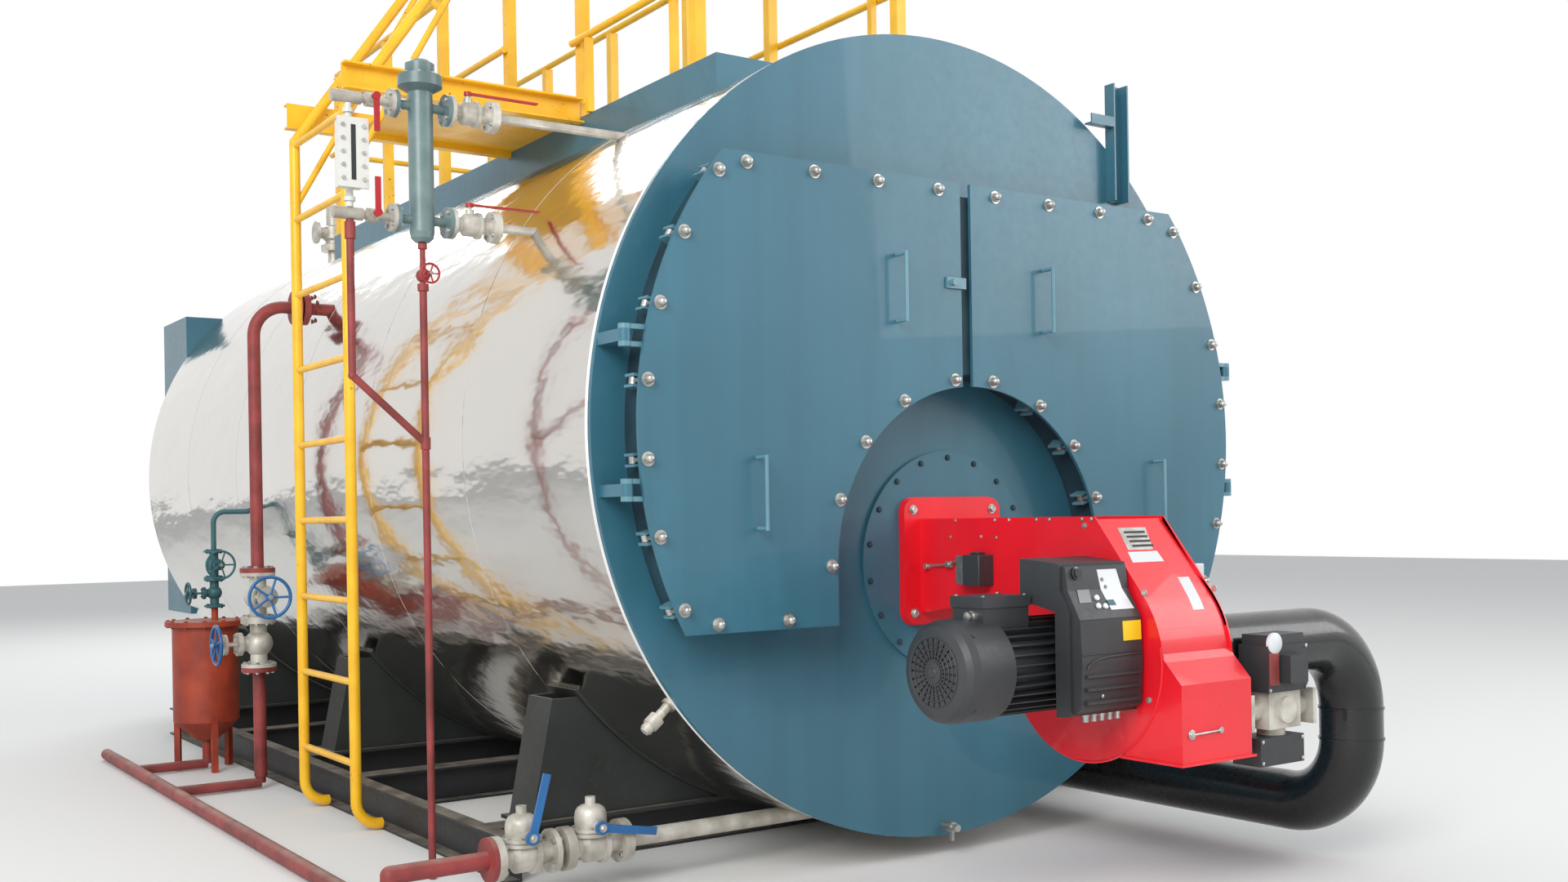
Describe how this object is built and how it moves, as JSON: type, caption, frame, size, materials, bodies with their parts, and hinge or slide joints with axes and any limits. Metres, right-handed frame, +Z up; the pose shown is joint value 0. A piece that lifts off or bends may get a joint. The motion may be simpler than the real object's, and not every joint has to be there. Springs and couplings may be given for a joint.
{
  "type": "industrial steam boiler",
  "caption": "Horizontal fire-tube steam boiler on a skid with a red burner, two smoke-box doors, gauge column, feed and drain pipes, ladder and walkway.",
  "frame": {"origin": "on the floor under the middle of the front saddle, below the boiler axis", "axes": "+Z up, +Y from the front plate to the rear smoke box, the doors and the burner face -Y, +X to the right seen from the front"},
  "size_m": [3.62, 8.17, 4.17],
  "materials": {
    "teal_paint": "semi-gloss",
    "door_fittings": "semi-gloss",
    "bright_cladding": "polished",
    "boiler_steel": "matte",
    "valve_grey": "satin",
    "burner_red": "gloss",
    "lever_red": "gloss",
    "pipe_red": "matte",
    "pot_orange": "satin",
    "pot_valve_teal": "satin",
    "charcoal": "satin",
    "duct_black": "satin",
    "gauge_white": "satin",
    "rail_yellow": "semi-gloss",
    "skid_black": "satin",
    "saddle_grey": "matte",
    "lining": "matte",
    "wheel_blue": "gloss"
  },
  "bodies": {
    "root": {"barrel": "boiler_steel", "cladding": "bright_cladding", "front_plate": "teal_paint", "door_frame": "teal_paint", "tube_plate": "boiler_steel", "tube_ends": "boiler_steel", "rear_plate": "boiler_steel", "rear_smoke_box": "teal_paint", "hinge_brackets": "teal_paint", "bolt_lugs": "door_fittings", "plate_bracket": "teal_paint", "burner_plate": "teal_paint", "burner_flange": "burner_red", "burner_housing": "burner_red", "burner_motor": "charcoal", "burner_control_box": "charcoal", "gas_valve": "valve_grey", "gas_actuators": "charcoal", "flue_gas_pipe": "duct_black", "level_column": "teal_paint", "gauge_valves": "valve_grey", "level_gauge": "gauge_white", "gauge_drain_pipes": "pipe_red", "feed_pipe": "pipe_red", "feed_valves": "valve_grey", "drain_pot": "pot_orange", "pot_valves": "pot_valve_teal", "drain_manifold": "pipe_red", "bottom_valves": "valve_grey", "ladder": "rail_yellow", "landing": "rail_yellow", "platform": "teal_paint", "railing_posts_left": "rail_yellow", "railing_posts_right": "rail_yellow", "railing_rails_left": "rail_yellow", "railing_rails_right": "rail_yellow", "skid_beam_left": "skid_black", "skid_beam_right": "skid_black", "skid_cross_beams": "skid_black", "saddle_front": "saddle_grey", "saddle_middle": "saddle_grey", "saddle_rear": "saddle_grey", "steam_fittings": "valve_grey"},
    "left_door": {"left_door": "teal_paint", "left_door_lining": "lining", "left_door_fittings": "door_fittings"},
    "right_door": {"right_door": "teal_paint", "right_door_lining": "lining", "right_door_fittings": "door_fittings"},
    "blowdown_lever_outer": {"blowdown_lever_outer": "wheel_blue"},
    "blowdown_lever_inner": {"blowdown_lever_inner": "wheel_blue"},
    "feed_handwheel_front": {"feed_handwheel_front": "wheel_blue"},
    "feed_handwheel_side": {"feed_handwheel_side": "wheel_blue"},
    "drain_handwheel": {"drain_handwheel": "lever_red"},
    "gauge_lever_top": {"gauge_lever_top": "lever_red"},
    "gauge_lever_low": {"gauge_lever_low": "lever_red"},
    "column_lever_top": {"column_lever_top": "lever_red"},
    "column_lever_low": {"column_lever_low": "lever_red"},
    "pot_handwheel_front": {"pot_handwheel_front": "pot_valve_teal"},
    "pot_handwheel_side": {"pot_handwheel_side": "pot_valve_teal"}
  },
  "joints": [
    {"name": "left_door_hinge", "type": "hinge", "parent": "root", "child": "left_door", "pos_m": [-1.45, -1.033, 1.625], "axis": [0, 0, -1], "range_deg": [0, 110]},
    {"name": "right_door_hinge", "type": "hinge", "parent": "root", "child": "right_door", "pos_m": [1.45, -1.033, 1.625], "axis": [0, 0, 1], "range_deg": [0, 110]},
    {"name": "blowdown_lever_outer_turn", "type": "hinge", "parent": "root", "child": "blowdown_lever_outer", "pos_m": [-1.6, -0.62, 0.235], "axis": [0, 1, 0], "range_deg": [0, 90]},
    {"name": "blowdown_lever_inner_turn", "type": "hinge", "parent": "root", "child": "blowdown_lever_inner", "pos_m": [-1.34, -0.62, 0.235], "axis": [0, 1, 0], "range_deg": [-90, 0]},
    {"name": "feed_wheel_front_turn", "type": "hinge", "parent": "root", "child": "feed_handwheel_front", "pos_m": [-1.65, 2.11, 0.94], "axis": [0, -1, 0], "continuous": true},
    {"name": "feed_wheel_side_turn", "type": "hinge", "parent": "root", "child": "feed_handwheel_side", "pos_m": [-1.85, 2.31, 0.71], "axis": [-1, 0, 0], "continuous": true},
    {"name": "drain_wheel_turn", "type": "hinge", "parent": "root", "child": "drain_handwheel", "pos_m": [-1.7, -0.07, 2.18], "axis": [0, -1, 0], "continuous": true},
    {"name": "gauge_lever_top_turn", "type": "hinge", "parent": "root", "child": "gauge_lever_top", "pos_m": [-1.886, -0.06, 2.79], "axis": [0, -1, 0], "range_deg": [0, 90]},
    {"name": "gauge_lever_low_turn", "type": "hinge", "parent": "root", "child": "gauge_lever_low", "pos_m": [-1.886, -0.06, 2.38], "axis": [0, 1, 0], "range_deg": [0, 90]},
    {"name": "column_lever_top_turn", "type": "hinge", "parent": "root", "child": "column_lever_top", "pos_m": [-1.51595, 0, 2.86], "axis": [0, 0, -1], "range_deg": [0, 90]},
    {"name": "column_lever_low_turn", "type": "hinge", "parent": "root", "child": "column_lever_low", "pos_m": [-1.51595, 0, 2.45], "axis": [0, 0, -1], "range_deg": [0, 90]},
    {"name": "pot_wheel_front_turn", "type": "hinge", "parent": "root", "child": "pot_handwheel_front", "pos_m": [-1.65, 2.976, 1.08], "axis": [0, -1, 0], "continuous": true},
    {"name": "pot_wheel_side_turn", "type": "hinge", "parent": "root", "child": "pot_handwheel_side", "pos_m": [-1.784, 3.11, 0.93], "axis": [-1, 0, 0], "continuous": true}
  ]
}
